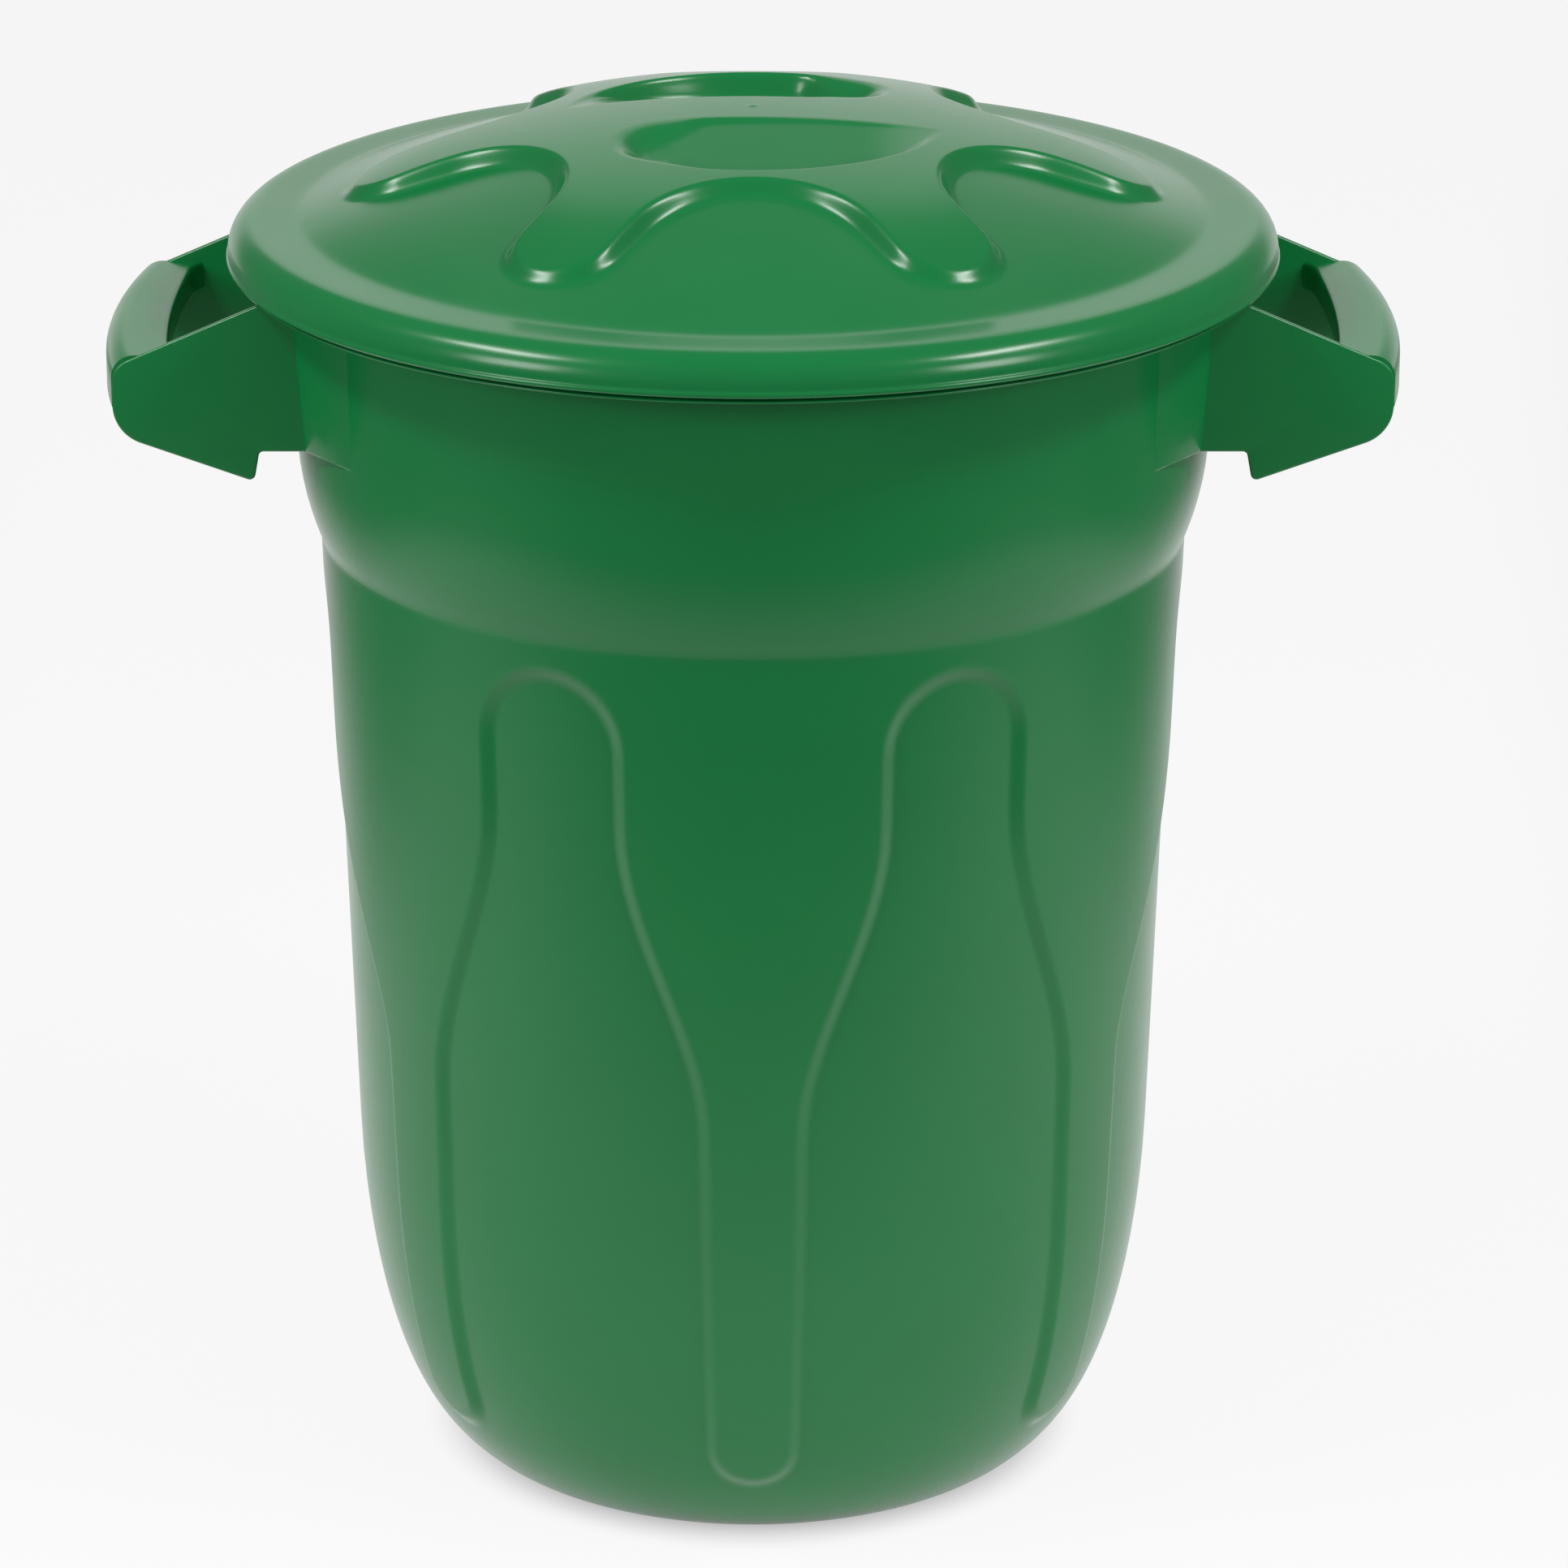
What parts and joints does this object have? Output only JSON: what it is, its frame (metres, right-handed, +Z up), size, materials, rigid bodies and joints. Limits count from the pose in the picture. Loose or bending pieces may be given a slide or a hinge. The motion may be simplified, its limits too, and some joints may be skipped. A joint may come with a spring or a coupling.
{
  "type": "round trash can",
  "caption": "Round green plastic trash can with a lift-off domed lid, side carrying handles and bottle-shaped flutes pressed into the tub.",
  "frame": {"origin": "centre of the tub's flat base, on the floor", "axes": "+Z up along the tub's axis; the front faces -Y; the handles point along +X and -X"},
  "size_m": [0.677, 0.5506, 0.7435],
  "materials": {
    "tub_plastic": "satin",
    "lid_plastic": "satin"
  },
  "bodies": {
    "tub": {"tub": "tub_plastic", "left_handle": "tub_plastic", "right_handle": "tub_plastic"},
    "lid": {"lid": "lid_plastic"}
  },
  "joints": [
    {"name": "lid_lift", "type": "slide", "parent": "tub", "child": "lid", "axis": [0, 0, 1], "range_m": [0, 0.25]}
  ]
}
